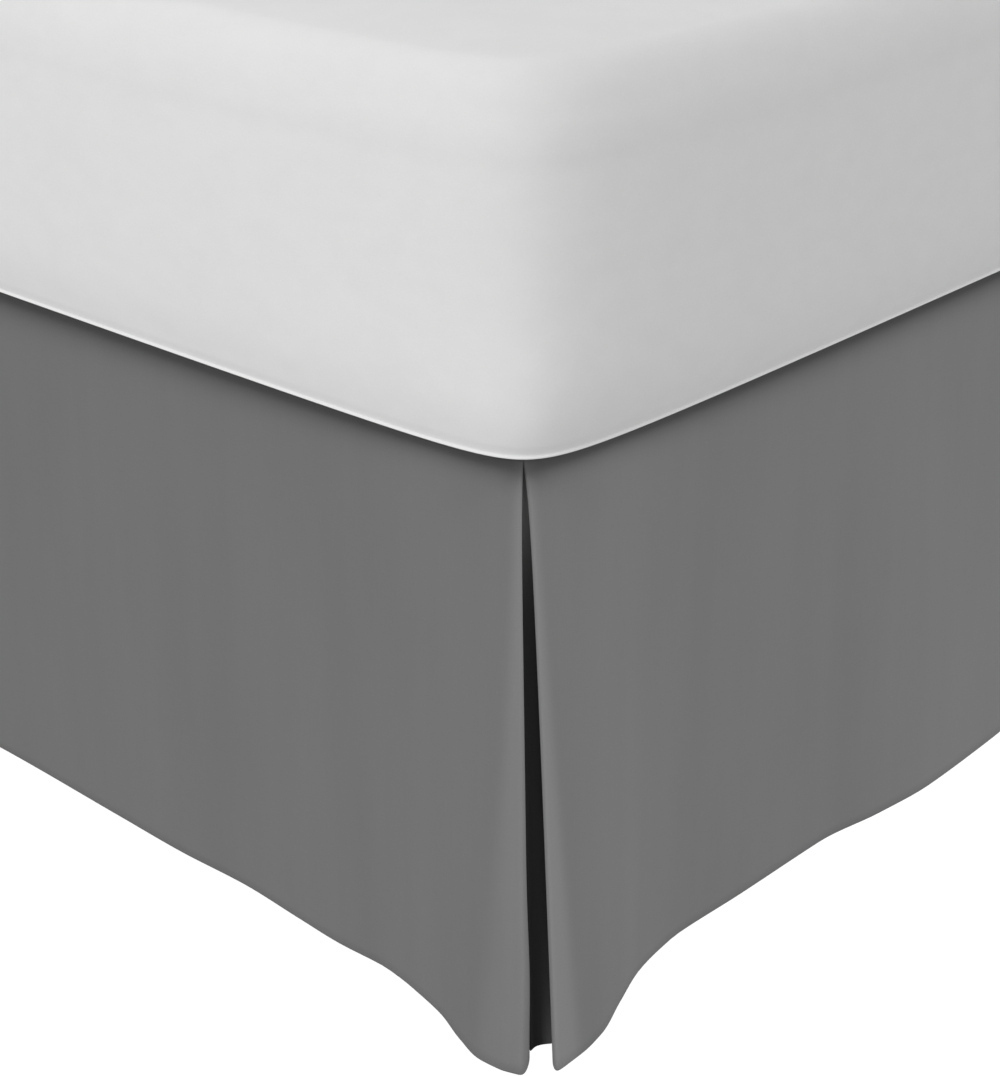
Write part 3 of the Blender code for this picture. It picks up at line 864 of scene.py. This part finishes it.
def soft_rectangle(half_x, half_y, softness):
    """Corner outline, as x and y: hyperbolas, where the distances from the two sides multiply to
    softness squared. Runs anticlockwise from the middle of the foot side."""

    reach, near_steps, far_steps = 1.8, 22, 46

    def places(half):
        near = softness * np.exp(np.linspace(0, reach, near_steps))
        return np.concatenate([near, np.linspace(near[-1], half, far_steps)[1:]])

    along_y, along_x = places(half_y), places(half_x)
    x = np.concatenate([half_x - softness**2 / along_y[::-1], half_x - along_x[1:]])
    y = np.concatenate([half_y - along_y[::-1], half_y - softness**2 / along_x[1:]])
    quarter = np.column_stack([x, y])
    right = np.concatenate([quarter[:0:-1] * (1, -1), quarter])
    return np.concatenate([right, right[-2:0:-1] * (-1, 1)])


def round_rectangle(half_x, half_y, radius):
    """Outline of a rectangle with round corners, anticlockwise: quarter circles joined by sides
    cut into even steps."""
    arc_steps, across_steps, along_steps = 10, 24, 32
    turn = np.linspace(0, math.pi / 2, arc_steps)
    arc = np.column_stack([np.cos(turn), np.sin(turn)]) * radius
    middles = ((half_x - radius, half_y - radius), (radius - half_x, half_y - radius))
    first = arc + middles[0]
    second = arc[::-1] * (-1, 1) + middles[1]
    across = np.linspace(first[-1], second[0], across_steps)[1:-1]
    upper = np.concatenate([first, across, second])
    lower = upper * (-1, -1)
    left = np.linspace(upper[-1], lower[0], along_steps)[1:-1]
    return np.concatenate([upper, left, lower, left * (-1, -1)])


def carried(name, outline_at, profile):
    """Closed mesh of a profile of (inset, height, share) rows round an outline. outline_at gives
    the outline at an inset and a height, and share scales it towards the middle, down to a
    point."""
    rings = [
        np.insert(outline_at(inset, height) * share + (0.0, SHIFT_Y), 2, height, axis=1)
        for inset, height, share in profile
    ]
    return surface(name, np.stack(rings), wrap=True)


def weld(mesh):
    """Merges the points that coincide, at the poles."""
    form = bmesh.new()
    form.from_mesh(mesh)
    bmesh.ops.remove_doubles(form, verts=form.verts, dist=MERGE)
    bmesh.ops.recalc_face_normals(form, faces=form.faces)
    form.to_mesh(mesh)
    form.free()
    mesh.shade_smooth()


def mattress_profile(height, bead):
    """The mattress's (inset, height, share) rows, from the middle of its underside to that of
    its top. The side bulges as a flat parabola, and its lowest finger's width is tucked in by
    1 - exp(-(height / reach)^power). The top edge is an ellipse, up to where it meets a crown
    that rises as 1 - (1 - t)^2."""
    bead_rows, side_rows, edge_rows, crown_rows, top_rows = 14, 34, 22, 14, 20
    round_in, rise = MATTRESS_TOP_ROUND, MATTRESS_TOP_RISE
    crown_half = CROWN_REACH * WIDTH / 2
    arc = math.atan2(rise, round_in * 2 * MATTRESS_CROWN / crown_half)
    top = height - MATTRESS_CROWN
    shoulder = top - rise * math.sin(arc)

    def side(height):
        bulge = SIDE_BULGE * (1 - (2 * height / shoulder - 1) ** 2)
        return -bulge - SIDE_TUCK * (1 - math.exp(-((height / TUCK_REACH) ** TUCK_POWER)))

    rows = [(UNDERSIDE_INSET, 0.0, share) for share in MIDDLE_OUT]
    centre = bead - BEAD_OUT
    turn = np.radians(np.linspace(*BEAD_TURN, bead_rows))
    rows += [(centre - bead * math.cos(a), bead * math.sin(a) - BEAD_FALL, 1.0) for a in turn]
    rows += [(*place, 1.0) for place in BEAD_NECK]
    first, second = SIDE_START
    rows += [(side(h), h, 1.0) for h in (first, *np.linspace(second, shoulder, side_rows))]
    edge = side(shoulder)
    rows += [
        (edge + round_in * (1 - math.cos(a)), shoulder + rise * math.sin(a), 1.0)
        for a in np.linspace(0, arc, edge_rows)[1:]
    ]
    edge += round_in * (1 - math.cos(arc))
    rows += [
        (edge, top + MATTRESS_CROWN * (1 - (1 - t) ** 2), 1.0 - CROWN_REACH * t)
        for t in np.linspace(0, 1, crown_rows)[1:]
    ]
    shares = np.linspace(1.0 - CROWN_REACH, 0, top_rows)[1:]
    return rows + [(edge, height, share) for share in shares]


# Pieces


class BEDSKIRT_OT_mattress(bpy.types.Operator):
    """Makes the mattress in its stretched cover"""

    bl_idname = "bed_skirt.mattress"
    bl_label = "Mattress"

    def execute(self, context):
        bed = context.scene.bed_skirt.bed
        rows = mattress_profile(bed.mattress_height, bed.edge_bead)

        def outline_at(inset, height):
            upper = 1 - math.exp(-(((height - DROP) / UPPER_REACH) ** 2))
            softness = MATTRESS_SOFTNESS + (UPPER_SOFTNESS - MATTRESS_SOFTNESS) * upper
            softness -= (1 - math.sqrt(0.5)) * max(inset, 0.0)
            return soft_rectangle(WIDTH / 2 - inset, LENGTH / 2 - inset, softness)

        mesh = carried("mattress_cover", outline_at, [(i, h + DROP, s) for i, h, s in rows])
        under = np.zeros((len(rows) - 1, len(mesh.polygons) // (len(rows) - 1)), np.int32)
        under[: len(MIDDLE_OUT)] = 1
        mesh.polygons.foreach_set("material_index", under.ravel())
        weld(mesh)
        cover = mattress_cover("mattress cover", bed.mattress_colour)
        piece = add_piece(context, mesh, cover, ["mattress"])
        # The underside's faces get the near-black cloth, painted shade beneath the mattress's
        # edge.
        mesh.materials.append(painted_shade_underside("mattress underside", bed.underside_painted_shade_colour))
        return {"FINISHED"}


class BEDSKIRT_OT_base(bpy.types.Operator):
    """Makes the cloth-covered box base"""

    bl_idname = "bed_skirt.base"
    bl_label = "Bed base"

    def execute(self, context):
        low, high, welt = BASE_BOTTOM, BASE_TOP, WELT_RADIUS
        welt_rows, side_rows = 9, 12
        turn = np.radians(np.linspace(-90, 90, welt_rows))
        sides = np.linspace(low + WELT_MARGIN, high - WELT_MARGIN, side_rows)
        # the flat bottom, the lower welt, the side, the upper welt and the flat top
        rows = [(FACE_MARGIN, low, share) for share in MIDDLE_OUT]
        rows += [(welt * (1 - math.cos(a)), low + welt * (1 + math.sin(a)), 1.0) for a in turn]
        rows += [(BASE_SIDE, height, 1.0) for height in sides]
        rows += [(welt * (1 - math.cos(a)), high - welt * (1 - math.sin(a)), 1.0) for a in turn]
        rows += [(FACE_MARGIN, high, share) for share in reversed(MIDDLE_OUT)]

        def outline_at(inset, height):
            half_x, half_y = WIDTH / 2 - BASE_INSET, LENGTH / 2 - BASE_INSET
            return round_rectangle(half_x - inset, half_y - inset, BASE_CORNER_RADIUS - inset)

        mesh = carried("base_box", outline_at, rows)
        weld(mesh)
        colour = context.scene.bed_skirt.bed.base_colour
        add_piece(context, mesh, base_cloth("base ticking", colour), ["bed_base"])
        return {"FINISHED"}


class BEDSKIRT_OT_legs(bpy.types.Operator):
    """Makes the six turned legs"""

    bl_idname = "bed_skirt.legs"
    bl_label = "Legs"

    def execute(self, context):
        colour = context.scene.bed_skirt.bed.leg_colour
        material = stained_wood("stained leg wood", colour)
        turn = np.linspace(0, 2 * math.pi, LEG_SIDES + 1)[:-1]
        profile = np.array(LEG_PROFILE)
        for number in range(1, 7):
            low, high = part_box(f"leg_{number}")
            middle = (low + high) / 2
            x = middle.x + profile[:, :1] * np.cos(turn)
            y = middle.y + profile[:, :1] * np.sin(turn)
            points = np.stack([x, y, np.broadcast_to(profile[:, 1:], x.shape)], axis=-1)
            mesh = surface(f"turned_leg_{number}", points, wrap=True)
            weld(mesh)
            add_piece(context, mesh, material, [f"leg_{number}"])
        return {"FINISHED"}


class BEDSKIRT_OT_deck(bpy.types.Operator):
    """Makes the flat deck cloth between the base and the mattress"""

    bl_idname = "bed_skirt.deck"
    bl_label = "Deck cloth"

    def execute(self, context):
        cloth = context.scene.bed_skirt.cloth
        half_x, half_y = WIDTH / 2 - DECK_OFFSET, (LENGTH - DECK_OFFSET - BASE_INSET) / 2
        middle = (0.0, SHIFT_Y + (DECK_OFFSET - BASE_INSET) / 2)
        outline = round_rectangle(half_x, half_y, DECK_RADIUS)
        plan = middle + outline * np.linspace(0.0, 1.0, DECK_RINGS)[:, None, None]
        mesh = surface("deck_cloth", np.insert(plan, 2, DECK_MIDDLE, axis=2), wrap=True)
        weld(mesh)
        places = np.empty(len(mesh.vertices) * 3, np.float32)
        mesh.vertices.foreach_get("co", places)
        corner = np.empty(len(mesh.loops), np.int32)
        mesh.loops.foreach_get("vertex_index", corner)
        layer = mesh.uv_layers.new(name=CLOTH_MAP)
        layer.uv.foreach_set("vector", places.reshape(-1, 3)[corner, :2].ravel())
        material = woven_cloth("skirt cloth deck", cloth.skirt_colour, cloth.thread)
        piece = add_piece(context, mesh, material, ["skirt_deck"])
        thicken(piece, SOLID_SHEET * DECK_SHARE)
        2 * half_x
        2 * half_y
        return {"FINISHED"}


class BEDSKIRT_OT_drops(bpy.types.Operator):
    """Makes the foot drop and the two side drops, with their hems turned up inside"""

    bl_idname = "bed_skirt.drops"
    bl_label = "Drops"

    def execute(self, context):
        cloth = context.scene.bed_skirt.cloth
        material = woven_cloth("skirt cloth", cloth.skirt_colour, cloth.thread)
        # Painted highlight bands along each slit's fold, with painted shade around them.
        foot = painted_light_beside_folds([(CREST, FOOT_PAINTED_BAND), (-1 - CREST, FOOT_PAINTED_BAND)])
        side = painted_light_beside_folds([(CREST, SIDE_PAINTED_BAND)])
        drops = (
            ("foot_drop_cloth", "drop_foot", foot_drop_line, -1, foot),
            ("right_drop_cloth", "drop_right", right_drop_line, 1, side),
            ("left_drop_cloth", "drop_left", left_drop_line, -1, side),
        )
        hang(context, material, cloth.hem_depth, drops)
        return {"FINISHED"}


class BEDSKIRT_OT_underlays(bpy.types.Operator):
    """Makes the underlay behind each slit"""

    bl_idname = "bed_skirt.underlays"
    bl_label = "Pleat underlays"

    def execute(self, context):
        cloth = context.scene.bed_skirt.cloth
        # Painted shade: the underlay's colour is far darker than the skirt's cloth, for the shade
        # in the slit, and painted light makes it paler high up and at the hem.
        material = woven_cloth("underlay cloth", cloth.underlay_painted_shade_colour, cloth.thread)
        underlays = (
            ("right_pleat_cloth", "pleat_underlay_right", right_pleat_line, 1, painted_light_in_slit),
            ("left_pleat_cloth", "pleat_underlay_left", left_pleat_line, -1, painted_light_in_slit),
        )
        hem_depth = UNDERLAY_HEM_SHARE * cloth.hem_depth
        hang(context, material, hem_depth, underlays)
        return {"FINISHED"}


class BEDSKIRT_OT_stage(bpy.types.Operator):
    """Makes the pale floor, the soft light and the camera"""

    bl_idname = "bed_skirt.stage"
    bl_label = "Stage"

    def execute(self, context):
        scene = context.scene
        stage = scene.bed_skirt.stage
        scene.view_settings.view_transform = "Standard"
        scene.view_settings.look = "None"
        floor = self.make_floor(scene, stage)
        self.make_world(scene, stage)
        skirt = self.collection_of(scene, "skirt cloth", ("_drop_cloth",))
        bed = self.collection_of(scene, "bed", ("mattress_cover", "base_box", "deck_cloth"))
        floor.light_linking.receiver_collection = bed
        # name, the way to it, strength, spread in degrees, lit pieces
        lamps = (
            ("key", (-0.06, -0.86, 0.50), stage.key, 40, bed),
            ("skirt light foot", (-0.21, -0.52, 0.83), stage.skirt_light, 30, skirt),
            ("skirt light side", (0.52, 0.21, 0.83), stage.skirt_light, 30, skirt),
        )
        for lamp in lamps:
            self.make_lamp(scene, *lamp)
        self.make_camera(scene)
        return {"FINISHED"}

    def make_floor(self, scene, stage):
        reach = np.linspace(-FLOOR_REACH, FLOOR_REACH, 3)
        x, y = np.meshgrid(reach, reach)
        mesh = surface("floor", np.stack([x, y, 0 * x], axis=-1))
        material, start, shader = new_material("pale floor", specular=0.0)
        shader.inputs["Base Color"].default_value = (0.12, 0.12, 0.12, 1.0)
        shader.inputs["Roughness"].default_value = 1.0
        shader.inputs["Emission Color"].default_value = (1.0, 1.0, 1.0, 1.0)
        link(only_seen(start, stage.floor_glow), shader, "Emission Strength")
        mesh.materials.append(material)
        floor = bpy.data.objects.new("floor", mesh)
        scene.collection.objects.link(floor)
        return floor

    def make_world(self, scene, stage):
        world = bpy.data.worlds.new("studio")
        world.use_nodes = True
        scene.world = world
        background = world.node_tree.nodes["Background"]
        background.inputs["Color"].default_value = (1.0, 1.0, 1.0, 1.0)
        link(only_seen(Shade(world.node_tree), stage.dome), background, "Strength")

    def collection_of(self, scene, name, endings):
        """A collection of the pieces whose names end so, which a lamp can be kept to."""
        made = bpy.data.collections.new(name)
        for piece in scene.objects:
            if piece.name.endswith(endings):
                made.objects.link(piece)
        return made

    def make_lamp(self, scene, name, towards, strength, spread, lit):
        """A soft sun lamp, which stands that way from the middle and shines back on it."""
        data = bpy.data.lights.new(name, "SUN")
        data.energy = strength
        data.angle = math.radians(spread)
        lamp = bpy.data.objects.new(name, data)
        x, y, z = towards
        tilt, turn = math.atan2(math.hypot(x, y), z), math.atan2(y, x) + math.pi / 2
        lamp.rotation_euler = (tilt, 0.0, turn)
        lamp.location = tuple(LAMP_DISTANCE * part for part in towards)
        scene.collection.objects.link(lamp)
        lamp.light_linking.receiver_collection = lit

    def make_camera(self, scene):
        data = bpy.data.cameras.new("camera")
        data.lens = CAMERA_LENS
        data.sensor_width = SENSOR_WIDTH
        camera = bpy.data.objects.new("camera", data)
        camera.location = CAMERA_PLACE
        camera.rotation_euler = (math.radians(90 - CAMERA_TILT), 0.0, math.radians(CAMERA_TURN))
        scene.collection.objects.link(camera)
        scene.camera = camera


class BEDSKIRT_PT_panel(bpy.types.Panel):
    """Lists the settings and the pieces"""

    bl_idname = "BEDSKIRT_PT_panel"
    bl_label = "Bed Skirt"
    bl_space_type = "VIEW_3D"
    bl_region_type = "UI"
    bl_category = "Bed Skirt"

    def draw(self, context):
        settings = context.scene.bed_skirt
        for group in (settings.cloth, settings.bed, settings.stage):
            box = self.layout.box()
            for name in group.__annotations__:
                box.prop(group, name)
        for operator in OPERATORS:
            self.layout.operator(operator.bl_idname)


OPERATORS = (
    BEDSKIRT_OT_base,
    BEDSKIRT_OT_legs,
    BEDSKIRT_OT_deck,
    BEDSKIRT_OT_drops,
    BEDSKIRT_OT_underlays,
    BEDSKIRT_OT_mattress,
    BEDSKIRT_OT_stage,
)
CLASSES = (
    ClothSettings,
    BedSettings,
    StageSettings,
    BedSkirtSettings,
    *OPERATORS,
    BEDSKIRT_PT_panel,
)


def register():
    for item in CLASSES:
        bpy.utils.register_class(item)
    bpy.types.Scene.bed_skirt = PointerProperty(type=BedSkirtSettings)


def unregister():
    del bpy.types.Scene.bed_skirt
    for item in reversed(CLASSES):
        bpy.utils.unregister_class(item)


def main():
    register()
    bpy.ops.bed_skirt.base()
    bpy.ops.bed_skirt.legs()
    bpy.ops.bed_skirt.deck()
    bpy.ops.bed_skirt.drops()
    bpy.ops.bed_skirt.underlays()
    bpy.ops.bed_skirt.mattress()
    bpy.ops.bed_skirt.stage()


if __name__ == "__main__":
    main()
